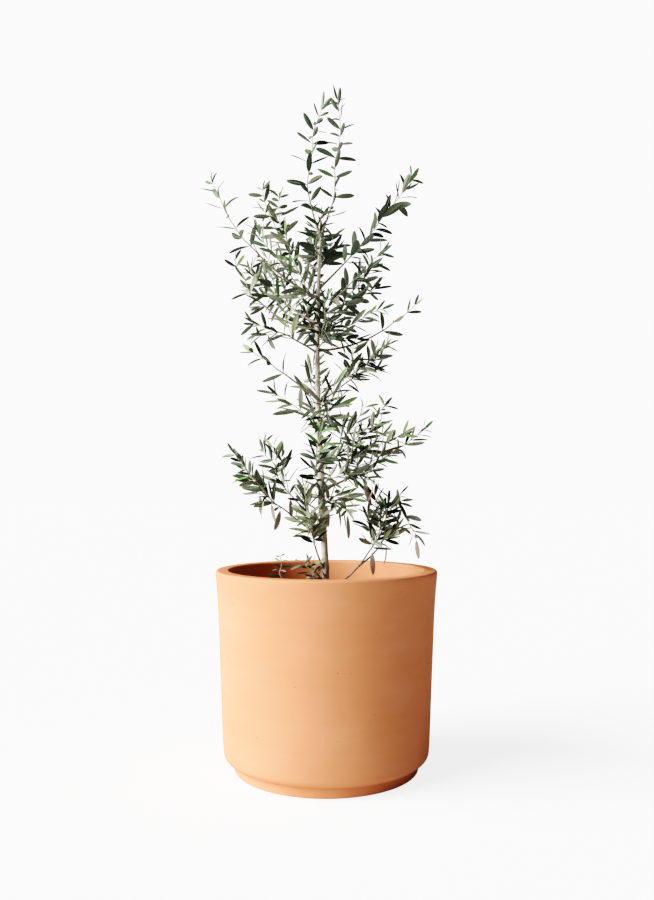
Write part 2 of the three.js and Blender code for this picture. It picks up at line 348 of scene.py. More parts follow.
pot = {
    "sides": 288,
    "step": 2.2 * mm,
    "wall": 23.5 * mm,
    "footRadius": 158 * mm,
    "footHeight": 18.5 * mm,
    "footEdge": 3 * mm,
    "cornerRounding": 15 * mm,
    "lipRounding": 4 * mm,
    "floorThickness": 26 * mm,
    "innerTaper": 9 * mm,
    "innerRounding": 20 * mm,
    # outside radius and height, from above the lower corner to under the lip
    "side": ((176, 33.5), (177.6, 60), (180.8, 150), (184, 240), (186.4, 290), (190, 333)),
    "bands": 0.02 * mm,  # height of the turned bands
    "bandScales": (160, 520),  # how close they stand, broad and fine
    "wobble": 0.45 * mm,  # how far the wall strays from round
    "wobbleFade": 40 * mm,  # less so below this height
    "colour": (0.71, 0.28, 0.145),
    "pale": (0.735, 0.304, 0.163),
    "deep": (0.685, 0.262, 0.131),
    "scuff": (0.8, 0.47, 0.32),
    "pit": (0.35, 0.11, 0.05),
    "mottle": 0.8,  # share of the clouds in the mottling, the rest is bands
    "scuffed": ((0.72, 0), (0.86, 0.3)),  # where the noise turns into scuffs, and how much
    "pitted": ((0.77, 0), (0.81, 0.6)),
    "roughness": 0.82,
    "shine": 0.15,
}


# Part of a circle, as radii and heights
def arc(centreRadius, centreHeight, rounding, fromAngle, toAngle, steps):
    points = []
    for i in range(steps + 1):
        angle = math.radians(fromAngle + (toAngle - fromAngle) * i / steps)
        radius = centreRadius + rounding * math.cos(angle)
        points.append((radius, centreHeight + rounding * math.sin(angle)))
    return points


# From the middle of the underside, up the outside, over the lip and down to the pot's floor
def potProfile():
    corner = pot["cornerRounding"]
    lip = pot["lipRounding"]
    foot = pot["footRadius"]
    edge = pot["footEdge"]
    inner = rimRadius - pot["wall"]
    innerLow = inner - pot["innerTaper"]
    rounding = pot["innerRounding"]
    hip = pot["side"][0][0] * mm
    side = smoothLine([(r * mm, h * mm, 0) for r, h in pot["side"]], pot["step"])
    profile = [(foot * 0.3, 0), (foot * 0.7, 0)]
    profile += arc(foot - edge, edge, edge, -90, 0, 5)
    profile += [(foot - 0.4 * mm, pot["footHeight"] - 1.5 * mm)]
    profile += arc(hip - corner, pot["footHeight"] + corner, corner, -72, 0, 12)
    profile += [(p.x, p.y) for p in side[1:-1]]
    profile += arc(rimRadius - lip, potHeight - lip, lip, 0, 90, 9)
    profile += arc(inner + lip, potHeight - lip, lip, 90, 180, 9)
    depth = potHeight - lip - pot["floorThickness"] - rounding
    steps = 80
    for i in range(1, steps):
        share = i / steps
        profile.append((inner - pot["innerTaper"] * share, potHeight - lip - depth * share))
    profile += arc(innerLow - rounding, pot["floorThickness"] + rounding, rounding, 0, -90, 6)
    profile.append((innerLow * 0.4, pot["floorThickness"]))
    return profile


# How far the outside stands out from a true round
def potRelief(height, angle):
    broad, fine = pot["bandScales"]
    band = noise.noise(Vector((height * broad, 0.3, 0)))
    band += 0.5 * noise.noise(Vector((height * fine, 4, 0)))
    around = Vector((math.cos(angle) * 1.3, math.sin(angle) * 1.3, height * 5))
    wobble = noise.noise(around) * pot["wobble"] * min(1, height / pot["wobbleFade"])
    return band * pot["bands"] + wobble


def makePot():
    profile = potProfile()
    sides = pot["sides"]
    outside = rimRadius - pot["wall"] + pot["lipRounding"]
    points = []
    for radius, height in profile:
        for k in range(sides):
            angle = 2 * math.pi * k / sides
            rough = radius > outside and height > pot["footHeight"]
            r = radius + (potRelief(height, angle) if rough else 0)
            points.append((r * math.cos(angle), r * math.sin(angle), height))
    faces = tubeFaces(0, len(profile), sides)
    fit(makePiece("clay-pot", points, faces, [clayMaterial()], sharpAngle=50), "clay", "pot")


# Smooth matte clay, a little mottled, with a few faint turned bands, pits and pale scuffs
def clayMaterial():
    material, shader = newMaterial("fired clay", Roughness=pot["roughness"], Specular_IOR_Level=pot["shine"])
    cloud = stretchedNoise(material, (1, 1, 1.6), scale=9, detail=4)
    bands = stretchedNoise(material, (0.35, 0.35, 26), scale=2, detail=1, roughness=0.4)
    mottle = blendOf(material, cloud, pot["mottle"], bands, 1 - pot["mottle"])
    colour = rampOf(material, mottle, [(0.36, pot["deep"]), (0.52, pot["colour"]), (0.68, pot["pale"])])
    scuffs = stretchedNoise(material, (1, 1, 0.4), scale=37, detail=2)
    pits = stretchedNoise(material, (1, 1, 1), scale=150, detail=1)
    for spots, stops, tint in ((scuffs, pot["scuffed"], pot["scuff"]), (pits, pot["pitted"], pot["pit"])):
        share = rampOf(material, spots, [(place, (much,) * 3) for place, much in stops])
        inputs = {"Fac": share, "Color1": colour, "Color2": (*tint, 1)}
        colour = addNode(material, "ShaderNodeMixRGB", inputs).outputs["Color"]
    grain = stretchedNoise(material, (1, 1, 1), scale=900, detail=3, roughness=0.7)
    fine = bumpOf(material, grain, strength=0.12, distance=0.25 * mm)
    turned = bumpOf(material, bands, strength=0.1, distance=0.3 * mm, Normal=fine)
    return paint(material, shader, colour, turned)


soil = {
    "rings": 70,
    "sides": 180,
    "gap": 0.4 * mm,  # between the soil and the pot's wall
    "height": 3.2 * mm,  # of its lumps
    "lumpScale": 45,
    "flat": 0.58,  # share of the radius that lies level, before it falls to its edge
    "crumbs": 1500,
    "crumbReach": 0.97,  # share of the radius that they lie within
    "crumbSize": (1.2 * mm, 4.5 * mm),
    "colour": (0.045, 0.028, 0.018),
    "dark": (0.022, 0.014, 0.009),
    "pale": (0.09, 0.058, 0.036),
    "crumbColours": ((0.06, 0.036, 0.022), (0.11, 0.065, 0.038), (0.03, 0.02, 0.014), (0.2, 0.16, 0.12)),
    "crumbShares": (5, 4, 3, 1),
}


def soilHeight(x, y, top):
    scale = soil["lumpScale"]
    lump = noise.fractal(Vector((x * scale, y * scale, 0)), 0.8, 2.2, 5)
    return top + soil["height"] * (0.6 * lump - 0.1)


# Level in the middle, and lower towards the wall
def soilLevel(share, top, fall):
    return top - fall * max(0, share - soil["flat"]) / (1 - soil["flat"])


def makeSoil():
    low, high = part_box("soil")
    sides = soil["sides"]
    levels = nodePoints("soil")
    edge = high.x - soil["gap"]
    rim = np.hypot(levels[:, 0], levels[:, 1]) > edge * 0.98
    fall = high.z - levels[rim][:, 2].max()
    points = [(0, 0, soilHeight(0, 0, high.z))]
    for i in range(1, soil["rings"] + 1):
        radius = edge * i / soil["rings"]
        level = soilLevel(radius / edge, high.z, fall)
        for k in range(sides):
            angle = 2 * math.pi * (k + 0.5 * (i % 2)) / sides
            x, y = radius * math.cos(angle), radius * math.sin(angle)
            points.append((x, y, soilHeight(x, y, level)))
    faces = [(0, 1 + k, 1 + (k + 1) % sides) for k in range(sides)]
    for i in range(soil["rings"] - 1):
        faces += ringFaces(1 + i * sides, 1 + (i + 1) * sides, sides)
    # the sides go down into the pot, to its floor
    foot = len(points)
    narrow = edge - pot["innerTaper"] - pot["innerRounding"]
    for k in range(sides):
        angle = 2 * math.pi * (k + 0.5 * (soil["rings"] % 2)) / sides
        points.append((narrow * math.cos(angle), narrow * math.sin(angle), low.z))
    faces += ringFaces(foot - sides, foot, sides)
    faces.append(tuple(foot + k for k in reversed(range(sides))))
    indices = [0] * len(faces)
    materials = [soilMaterial()]
    for i, colour in enumerate(soil["crumbColours"]):
        materials.append(plainMaterial(f"crumb {i}", colour, 0.95))
    addCrumbs(points, faces, indices, high.z, edge, fall)
    fit(makePiece("potting-soil", points, faces, materials, indices), "soil", "soil")


# Crumbs are small rough blocks that lie any way up
def addCrumbs(points, faces, indices, top, edge, fall):
    rng = random.Random(5)
    small, large = soil["crumbSize"]
    cube = [Vector((x, y, z)) for z in (-1, 1) for y in (-1, 1) for x in (-1, 1)]
    sides = [(0, 2, 3, 1), (4, 5, 7, 6), (0, 1, 5, 4), (2, 6, 7, 3), (0, 4, 6, 2), (1, 3, 7, 5)]
    for _ in range(soil["crumbs"]):
        radius = edge * soil["crumbReach"] * math.sqrt(rng.random())
        angle = rng.uniform(0, 2 * math.pi)
        x, y = radius * math.cos(angle), radius * math.sin(angle)
        size = small + (large - small) * rng.random() ** 3
        shape = Vector((size, size * rng.uniform(0.4, 1), size * rng.uniform(0.25, 0.7)))
        turn = Vector((rng.uniform(-1, 1), rng.uniform(-1, 1), 1)).to_track_quat("Z", "Y")
        spin = Vector((math.cos(angle * 7), math.sin(angle * 7), 0)).to_track_quat("X", "Z")
        level = soilLevel(radius / edge, top, fall)
        centre = Vector((x, y, soilHeight(x, y, level) + shape.z * 0.15))
        first = len(points)
        for corner in cube:
            rough = 0.5 * Vector([c * s * rng.uniform(0.7, 1.1) for c, s in zip(corner, shape)])
            points.append(tuple(centre + turn @ (spin @ rough)))
        faces.extend(tuple(first + k for k in side) for side in sides)
        look = 1 + rng.choices(range(len(soil["crumbColours"])), soil["crumbShares"])[0]
        indices.extend([look] * len(sides))


def soilMaterial():
    material, shader = newMaterial("damp soil", Roughness=0.95, Specular_IOR_Level=0.25)
    mottle = stretchedNoise(material, (1, 1, 1), scale=120, detail=6, roughness=0.7)
    stops = [(0.35, soil["dark"]), (0.55, soil["colour"]), (0.75, soil["pale"])]
    return paint(material, shader, rampOf(material, mottle, stops))


bark = {
    "step": 1.6 * mm,
    "trunkSides": 44,
    "boughSides": 14,
    "boughStep": 2.2 * mm,
    "ridge": 0.42 * mm,
    "boughRidge": 0.13 * mm,
    "flareLength": 12 * mm,
    "flareLobes": 0.14,
    "knots": 26,
    "knotLength": 3 * mm,
    "knotHeight": (0.5 * mm, 1.3 * mm),
    "collar": 0.9,  # how much thicker a bough is where it leaves the trunk
    "collarLength": 5 * mm,
    "sunk": (2 * mm, 3 * mm),  # the trunk into the soil, a bough into the trunk
    "endRadius": 1.2 * mm,  # of a bough where its leaves begin, at most
    # dark, middle and pale bark
    "trunk": ((0.16, 0.13, 0.1), (0.48, 0.43, 0.35), (0.68, 0.63, 0.53)),
    "bough": ((0.09, 0.07, 0.055), (0.23, 0.185, 0.145), (0.4, 0.345, 0.28)),
}


# The trunk's rings lie level. They give its middle line as a smooth curve, its radius, and where it ends.
def fitTrunk():
    points = nodePoints("trunk")
    levels = np.round(points[:, 2], 5)
    rings = [points[levels == level] for level in np.unique(levels)]
    rings = [ring for ring in rings if len(ring) > 4]
    centres = np.array([ring.mean(0) for ring in rings])
    radii = [np.linalg.norm(ring[:, :2] - centre[:2], axis=1).mean() for ring, centre in zip(rings, centres)]
    heights = centres[:, 2].copy()
    middle = heights.mean()
    curves = [np.polyfit(heights - middle, centres[:, k], 7) for k in (0, 1)]

    def centreAt(height):
        x, y = (np.polyval(curve, height - middle) for curve in curves)
        return Vector((x, y, height))

    def radiusAt(height):
        return float(np.interp(height, heights, radii))

    return centreAt, radiusAt, float(heights.min()), float(heights.max())


trunkCentre, trunkRadius, trunkFoot, trunkTop = fitTrunk()


# A bough's rings stand square to it, well apart, so they part into groups along its chord
def boughLine(name):
    points = nodePoints(name)
    middle = points.mean(0)
    chord = np.linalg.svd(points - middle)[2][0]
    if trunkGap(points[np.argmax(points @ chord)]) < trunkGap(points[np.argmin(points @ chord)]):
        chord = -chord
    places = (points - middle) @ chord
    ringGap = 4 * mm
    order = np.argsort(places)
    groups = [[order[0]]]
    for i in order[1:]:
        if places[i] - places[groups[-1][-1]] > ringGap:
            groups.append([])
        groups[-1].append(i)
    return [Vector(points[g].mean(0)) for g in groups]


# How far a point is from the trunk's middle line
def trunkGap(point):
    height = min(max(point[2], trunkFoot), trunkTop)
    return (Vector(point) - trunkCentre(height)).length


# Long ridges with finer ones on them
def ridges(point, angle, strength):
    x, y = math.cos(angle), math.sin(angle)
    broad = noise.noise(Vector((x * 2.2, y * 2.2, point.z * 26)))
    fine = noise.noise(Vector((x * 6, y * 6, point.z * 110 + 9)))
    return strength * (0.75 * broad + 0.4 * fine)


def makeTrunk():
    rng = random.Random(11)
    height = trunkTop - trunkFoot
    knots = [(rng.uniform(trunkFoot, trunkTop), rng.uniform(0, 2 * math.pi), rng.uniform(*bark["knotHeight"]))
             for _ in range(bark["knots"])]
    steps = int(height / bark["step"])
    line = [trunkCentre(trunkFoot - bark["sunk"][0] + height * i / steps) for i in range(steps + 1)]
    tubes = Tubes()

    def radiusOf(i, angle):
        point = line[i]
        radius = trunkRadius(point.z)
        radius += ridges(point, angle, bark["ridge"])
        flare = bark["flareLobes"] * math.exp(-(point.z - trunkFoot) / bark["flareLength"])
        radius *= 1 + flare * math.sin(3 * angle + 0.6) + 0.03 * math.sin(2 * angle + point.z * 30)
        for knotHeight, heading, size in knots:
            away = abs(point.z - knotHeight) / bark["knotLength"]
            if away < 3:
                radius += size * math.exp(-away ** 2) * max(0, math.cos(angle - heading)) ** 3
        return radius

    tubes.add(line, radiusOf, bark["trunkSides"])
    fit(tubes.piece("trunk-bark", [barkMaterial("trunk bark", 1, bark["trunk"])]), "bark", "trunk")


# The nodes whose names start this way, in order, and what follows it in each
def namesOf(start):
    return sorted(n.removeprefix(start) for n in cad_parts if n.startswith(start))


# Each bough's middle line, from inside the trunk to its tip, and the radii of its two ends
def readBoughs():
    lines, radii = {}, {}
    for name in namesOf("bough-"):
        rough = boughLine("bough-" + name)
        points = nodePoints("bough-" + name)
        ends = []
        for centre in (rough[1], rough[-2]):
            near = np.linalg.norm(points - np.array(centre), axis=1)
            ends.append(float(np.sort(near)[:5].mean()))
        ahead = (rough[1] - rough[0]).normalized()
        start = rough[0] - ahead * bark["sunk"][1]
        lines[name] = smoothLine([start] + rough[1:], bark["boughStep"])
        radii[name] = (ends[0], min(ends[1], bark["endRadius"]))
    return lines, radii


boughs, boughRadii = readBoughs()


def makeBoughs():
    tubes = Tubes()
    for name, line in boughs.items():
        length = lineLength(line)
        start, end = boughRadii[name]

        def radiusOf(i, angle):
            share = i / (len(line) - 1)
            radius = start + (end - start) * share
            collar = 1 + bark["collar"] * math.exp(-share * length / bark["collarLength"])
            return radius * collar + ridges(line[i], angle, bark["boughRidge"])

        tubes.add(line, radiusOf, bark["boughSides"])
    piece = tubes.piece("bough-bark", [barkMaterial("bough bark", 2.2, bark["bough"])])
    fit(piece, "bark", *["bough-" + name for name in boughs])


# Fine upright streaks over broad patches
def barkMaterial(name, scale, colours):
    material, shader = newMaterial(name, Roughness=0.85, Specular_IOR_Level=0.3)
    streak = stretchedNoise(material, (1, 1, 0.22), scale=260 * scale, detail=5, roughness=0.65)
    patch = stretchedNoise(material, (1, 1, 0.7), scale=60 * scale, detail=3)
    both = blendOf(material, streak, 0.6, patch, 0.4)
    colour = rampOf(material, both, list(zip((0.34, 0.5, 0.66), colours)))
    return paint(material, shader, colour, bumpOf(material, streak, strength=0.5, distance=0.3 * mm))


leaf = {
    "stations": (0, 0.06, 0.15, 0.3, 0.48, 0.66, 0.82, 0.93, 1),  # from its foot to its tip
    "widths": (0.07, 0.2, 0.58, 0.87, 1, 0.95, 0.76, 0.47, 0.1),
    "across": (-1, -0.5, -0.06, 0.06, 0.5, 1),  # over the upper side, with the midrib in the middle
    "under": (0.5, 0, -0.5),  # and back below
    "layers": (0, 0, 0, 0, 0, 0, 1, 1.7, 1),  # how deep each of these lies, in thicknesses
    "thickness": 0.5 * mm,
    "rollOver": 0.25,  # how far its edges turn down
    "midrib": (0.22, 0.25, 0.16),
    "upper": {
        "deep": (0.012, 0.021, 0.01),
        "dark": (0.033, 0.054, 0.026),
        "mid": (0.095, 0.14, 0.068),
        "ash": (0.026, 0.029, 0.022),
        "olive": (0.066, 0.073, 0.048),
        "sage": (0.138, 0.16, 0.098),
        "grey": (0.236, 0.262, 0.17),
        "fresh": (0.13, 0.225, 0.08),
        "young": (0.215, 0.31, 0.125),
        "pale": (0.33, 0.357, 0.215),
        "old": (0.36, 0.31, 0.235),
    },
    "lower": {
        # green and shaded are darker than an olive leaf's own pale underside: partly painted shade on
        # undersides seen from below
        "green": (0.06, 0.083, 0.047),
        "shaded": (0.075, 0.089, 0.058),
        "olive": (0.176, 0.194, 0.134),
        "silver": (0.303, 0.328, 0.23),
        "fawn": (0.38, 0.33, 0.25),
    },
}


def leafMaterials():
    materials = []
    for name, colour in leaf["upper"].items():
        materials.append(plainMaterial(f"leaf {name}", colour, 0.5, Specular_IOR_Level=0.28))
    for name, colour in leaf["lower"].items():
        materials.append(plainMaterial(f"underside {name}", colour, 0.75, Sheen_Weight=0.1))
    return materials + [plainMaterial("midrib", leaf["midrib"], 0.6)]


# The points of all leaves at once, as arrays of leaf, station and column.
# Each leaf curls down along its length, folds up at its midrib and twists.
def leafPoints(leaves):
    u = np.array(leaf["stations"])[None, :, None]
    widths = np.array(leaf["widths"])[None, :, None]
    columns = np.array(leaf["across"] + leaf["under"])[None, None, :]
    layers = np.array(leaf["layers"])[None, None, :]
    base, along, over = (np.array([tuple(v[key]) for v in leaves]) for key in ("base", "along", "normal"))
    length, width, curl, fold, twist = (np.array([v[key] for v in leaves])[:, None, None]
                                        for key in ("length", "width", "curl", "fold", "twist"))
    over = over - along * (over * along).sum(1)[:, None]
    over /= np.linalg.norm(over, axis=1)[:, None]
    beside = np.cross(over, along)
    bend = curl * u
    least = 1e-3  # a flatter leaf would be divided by nothing
    safe = np.where(np.abs(curl) < least, least, curl)
    forward = length * np.sin(safe * u) / safe
    drop = -length * (1 - np.cos(safe * u)) / safe
    half = width / 2 * widths * columns
    rise = np.abs(half) * (np.tan(fold) - np.abs(columns) ** 3 * leaf["rollOver"])
    rise = rise - layers * leaf["thickness"] * (widths * 0.8 + 0.2)
    turn = twist * u
    side = half * np.cos(turn) - rise * np.sin(turn)
    lift = half * np.sin(turn) + rise * np.cos(turn)
    points = base[:, None, None, :]
    for amount, direction in ((forward + lift * np.sin(bend), along), (side, beside),
                              (drop + lift * np.cos(bend), over)):
        points = points + amount[..., None] * direction[:, None, None, :]
    return points.reshape(-1, 3)


def makeLeafMesh(name, leaves, materials, nodes):
    upperNames = list(leaf["upper"])
    lowerNames = list(leaf["lower"])
    rows, cols = len(leaf["stations"]), len(leaf["layers"])
    edge = len(leaf["across"]) - 1
    size = rows * cols
    template, kinds = [], []
    for i in range(rows - 1):
        for k in range(cols):
            low, high, n = i * cols, (i + 1) * cols, (k + 1) % cols
            template.append((high + k, high + n, low + n, low + k))
            kinds.append(2 if k == edge // 2 else (0 if k < edge else 1))
    quads = np.array(template)[None, :, :] + (np.arange(len(leaves)) * size)[:, None, None]
    faces = quads.reshape(-1, 4).tolist()
    indices, capIndices = [], []
    for i, v in enumerate(leaves):
        upper = upperNames.index(v["upper"])
        lower = len(upperNames) + lowerNames.index(v["lower"])
        looks = (upper, lower, len(upperNames) + len(lowerNames))
        indices += [looks[kind] for kind in kinds]
        capIndices += [upper] * 2
        faces.append(tuple(range(i * size, i * size + cols)))
        faces.append(tuple(reversed(range((i + 1) * size - cols, (i + 1) * size))))
    piece = makePiece(name, leafPoints(leaves), faces, materials, indices + capIndices, 50)
    fit(piece, "foliage", *nodes)


# How the tree grows
growth = {
    "seed": 111,
    "leavesPerLitre": 160,
    "pointStep": 3 * mm,
    "wander": 3 * mm,  # how far a stem strays from its smooth line
    "stemRadius": 1.2 * mm,  # of a main stem that has no bough below it
    "twigRadius": 0.6 * mm,
    "tipRadius": 0.45 * mm,
    "swelling": 0.35,  # how much thicker a stem is where its leaves stand
    "longestShoot": 80 * mm,
    "shortestShoot": 12 * mm,
    "narrowest": 20,  # angles in degrees at which a shoot leaves its stem
    "widest": 75,
    "overreach": 6 * mm,  # how far shoots may leave their mass
    "mostShoots": 70,
    "shootChances": 40,  # the best of so many ways to grow is taken
    "leastGain": 0.4,  # if it is better than this
    "siteGap": 13 * mm,  # between the places in a mass that shoots grow to fill
    "siteTries": 2500,
    "reach": 15 * mm,  # how far from a shoot its leaves fill
    "leafChances": 16,
    "clearance": 8 * mm,  # leaves stand this far apart where they can
    "crowding": 4.2 * mm,  # no leaf grows nearer than this to another
    "cell": 4.5 * mm,  # size of the places in the view that leaves spread over
    "spreading": 7 * mm,  # how strongly they do
    "levelling": 0.35,  # how far leaf pairs on a leaning shoot turn towards level
    "ownShade": 0.55,  # chance that a leaf pair has its spray's shade
    "freshFrom": 0.8,  # share of a shoot after which new leaves stand
    "freshChance": 0.3,
    "oldGap": 20 * mm,  # between leaves that hang
    "oldStalk": (5 * mm, 12 * mm),
    "twig": (0.27, 0.245, 0.18),
    "youngTwig": (0.37, 0.35, 0.25),
}

# mm between leaf pairs, share of a main stem that is bare, degrees that leaves stand from it, their length in
# mm, their width as a share of that, and how much they hang
habits = {
    "wand": (22, 0, 68, 38, 0.235, 0.05),
    "leader": (18, 0, 68, 35, 0.26, 0.05),
    "sparse": (32, 0, 60, 36, 0.235, 0.05),
    "whorl": (10, 0.1, 76, 22, 0.22, 0.1),
    "bold": (14.5, 0, 62, 41, 0.265, 0.05),
    "bushy": (16, 0.08, 56, 37, 0.2, 0.1),
    "loose": (17, 0.05, 54, 37, 0.195, 0.1),
    "slim": (20, 0.03, 62, 46, 0.155, 0.15),
    "tuft": (10, 0, 74, 27, 0.2, 0),
}

# The tones partly paint shade and light: darker tones (deep, dark) go to the right-hand, upper and crown
# masses, and the lighter one (light) to the left-hand masses, on top of the leaves' own spread of greens.
# each mass's habit, the shades that its sprays are dealt from, how full it is, and how many old leaves it
# hangs. A mass of no fullness has its main stem only.
dress = {
    "leader-left": ("leader", "bright", 0, 0),
    "leader-right": ("leader", "bright", 0, 0),
    "upper-right": ("bold", "deep", 0.55, 0),
    "upper-left": ("wand", "light", 0, 0),
    "top-left": ("wand", "light", 0.7, 0),
    "left-hook": ("sparse", "light", 0, 0),
    "right-tip": ("sparse", "light", 0, 0),
    "left-twig": ("wand", "bright", 0.3, 0),
    "soil-shoot": ("whorl", "grey", 0, 0),
    "crown-front": ("bushy", "dark", 0.14, 0),
    "crown-back": ("bushy", "dark", 1, 0),
    "left-front": ("bushy", "light", 0.7, 0),
    "left-back": ("bushy", "light", 1.15, 0),
    "left-low": ("loose", "light", 0.64, 0),
    "right-front": ("loose", "dark", 0, 0),
    "right-back": ("bold", "dark", 0.36, 0),
    "right-low": ("bushy", "dark", 0.95, 0),
    "upper-back": ("bushy", "dark", 0.58, 0),
    "upper-front": ("bushy", "dark", 0.4, 0),
    "mid-right-front": ("loose", "dusky", 0.72, 0),
    "mid-right-back": ("loose", "dusky", 0.44, 0),
    "mid-left": ("slim", "grey", 0.15, 0),
    "mid-front": ("slim", "dusky", 0.78, 0),
    "mid-back": ("slim", "dusky", 0.52, 0),
    "low-right-front": ("bushy", "dusky", 0.84, 2),
    "low-right-back": ("loose", "dusky", 0.7, 0),
    "low-right-tip": ("loose", "bright", 0, 0),
    "low-front": ("bushy", "bright", 0.46, 0),
    "low-left-front": ("loose", "light", 0.48, 4),
    "low-left-back": ("loose", "light", 0.52, 1),
    "low-back": ("bushy", "dusky", 0.08, 0),
    "low-hanging": ("loose", "old", 1.6, 4),
    "foot-front": ("loose", "grey", 2.2, 0),
    "foot-right": ("bushy", "dusky", 1.5, 1),
    "foot-right-outer": ("loose", "dusky", 1.4, 2),
    "foot-low": ("tuft", "light", 2, 0),
}

# shares of the leaves' shades in each kind of mass, above and then below. The darker kinds (deep, dark) go to
# masses on the crown's shaded right and top, and the lighter one (light) to its lit left. So besides the
# leaves' own colours they partly paint shade and light.
shades = {
    "deep": {"deep": 8, "dark": 5, "mid": 1.2, "ash": 1, "fresh": 0.8},
    "dark": {"deep": 8, "dark": 5, "ash": 2.6, "mid": 1.4, "sage": 0.7, "fresh": 0.7, "pale": 0.2},
    "dusky": {"ash": 4.2, "olive": 3.6, "sage": 3, "grey": 2.6, "mid": 0.8, "fresh": 0.6, "pale": 0.8},
    "light": {"deep": 1.1, "dark": 2.4, "mid": 3.6, "sage": 2.4, "grey": 2.4, "fresh": 2.4, "pale": 1.2},
    "grey": {"ash": 0.9, "olive": 1.2, "sage": 2, "grey": 6, "pale": 2},
    "bright": {"deep": 1.8, "dark": 2.6, "mid": 2.7, "fresh": 3.2, "young": 1.3, "sage": 1, "pale": 0.5},
    "old": {"ash": 1.5, "olive": 2, "sage": 2, "grey": 2.4, "old": 2.5, "pale": 1.7},
}

# The dark undersides (green, shaded) go mostly to the leaders and the darker masses and partly paint the
# shade on undersides seen from below. The olive, silver and fawn ones are the leaves' own colours.
undersides = {
    "deep": {"green": 5, "shaded": 3, "olive": 0.6},
    "dark": {"green": 5, "shaded": 4, "olive": 1.2, "silver": 0.4},
    "dusky": {"shaded": 4.2, "olive": 3, "silver": 1.8},
    "light": {"green": 2.2, "shaded": 1.6, "olive": 3, "silver": 2.4},
    "grey": {"shaded": 1, "olive": 3, "silver": 5},
    "bright": {"green": 5, "shaded": 1.5, "olive": 1.8, "silver": 0.7},
    "old": {"shaded": 2, "olive": 3, "silver": 2, "fawn": 2},
}


# Where leaves already are, so that new ones turn into free space, both in the crown and as the eye sees it
class LeafSpace:
    def __init__(self):
        self.points = np.zeros((60000, 3))  # room for more than will come
        self.count = 0
        self.seen = Counter()

    # the taken points that a leaf of this length could touch
    def around(self, base, length):
        taken = self.points[:self.count]
        return taken[((taken - np.array(base)) ** 2).sum(1) < (length * 1.4) ** 2]

    def cell(self, point):
        away = 1 + point.y / (view["distance"] * rimRadius)
        rise = point.z - view["height"] * rimRadius
        return round(point.x / away / growth["cell"]), round(rise / away / growth["cell"])

    # the share of the points that stand where leaves are already seen
    def hidden(self, points):
        return sum(min(self.seen[self.cell(p)], 2) for p in points) / len(points)

    def take(self, points):
        for point in points:
            self.points[self.count] = point
            self.count += 1
            self.seen[self.cell(point)] += 1


leafSpace = LeafSpace()


# One mass of leaves: the space that it fills, its stems and its leaves
class Mass:
    def __init__(self, name):
        self.name = name
        habit, self.tone, fullness, self.hanging = dress[name]
        gap, bare, angle, length, width, hang = habits[habit]
        self.habit = {"internode": gap * mm, "bareFoot": bare, "angle": angle, "length": length * mm,
                      "width": width, "hang": hang}
        self.rng = random.Random(f"{growth['seed']} {name}")
        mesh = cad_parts["leaves-" + name].data
        points = [v.co.copy() for v in mesh.vertices]
        faces = [tuple(p.vertices) for p in mesh.polygons]
        self.tree = BVHTree.FromPolygons(points, faces)
        self.low, self.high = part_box("leaves-" + name)
        litres = sum(points[f[0]].dot(points[f[i]].cross(points[f[i + 1]])) for f in faces
                     for i in range(1, len(f) - 1)) / 6 * 1000
        self.wanted = litres * growth["leavesPerLitre"] * fullness
        self.leaves = []
        self.stems = []
        self.sites = self.findSites()
        self.served = [False] * len(self.sites)

    # how deep a point is inside the mass, and less than nothing outside it
    def depth(self, point):
        place, normal, _, gap = self.tree.find_nearest(point)
        return gap if (place - point).dot(normal) > 0 else -gap

    # how far a shoot can run from a point before it leaves the mass
    def room(self, point, ahead):
        run = 0
        step = 4 * mm
        longest = growth["longestShoot"] * 1.5
        while run < longest and self.depth(point + ahead * (run + step)) > -growth["overreach"]:
            run += step
        return run

    def randomPoint(self):
        return Vector([self.rng.uniform(a, b) for a, b in zip(self.low, self.high)])

    def findSites(self):
        sites = []
        for _ in range(growth["siteTries"]):
            point = self.randomPoint()
            if all((point - s).length > growth["siteGap"] for s in sites) and self.depth(point) > 0:
                sites.append(point)
        return sites

    # mark the places near a point as filled
    def serve(self, point):
        for i, site in enumerate(self.sites):
            if (site - point).length < growth["reach"]:
                self.served[i] = True


# A mass's spine runs from its foot through the middles of its slices to its tip
def spineOf(mass, foot):
    points = nodePoints("leaves-" + mass.name)
    far = Vector(points[np.argmax(np.linalg.norm(points - np.array(foot), axis=1))])
    chord = far - foot
    inside = []
    enough = 260
    while len(inside) < enough:
        point = mass.randomPoint()
        if mass.depth(point) > 0:
            inside.append(point)
    spine = [foot]
    slab = 0.2
    for low in (0.08, 0.28, 0.48, 0.68):
        part = [p for p in inside if low <= (p - foot).dot(chord) / chord.length_squared < low + slab]
        if len(part) > 5:
            spine.append(sum(part, Vector()) / len(part))
    spine.append(far)
    return spine


# Where a mass's main stem starts, on its bough or else on the trunk, and how thick it is there
def footOf(name):
    if name in boughs:
        return boughs[name][-1].copy(), boughRadii[name][1]
    points = nodePoints("leaves-" + name)
    gaps = np.array([trunkGap(p) for p in points])
    near = points[gaps < gaps.min() + 3 * mm].mean(0)
    return trunkCentre(min(near[2], trunkTop)), growth["stemRadius"]


def growMass(name, twigs):
    mass = Mass(name)
    foot, radius = footOf(name)
    spine = smoothLine(spineOf(mass, foot), growth["pointStep"])
    past = 0.35 * mass.habit["length"]  # the last leaves reach past the stem's end
    keep = max(5, int(len(spine) * (1 - past / lineLength(spine))))
    growStem(mass, twigs, wander(mass.rng, spine[:keep]), radius, main=True)
    tries = 0
    while len(mass.leaves) < mass.wanted and tries < growth["mostShoots"]:
        tries += 1
        shoot = bestShoot(mass)
        if shoot:
            growShoot(mass, twigs, *shoot)
    hangOldLeaves(mass, twigs)
    return mass


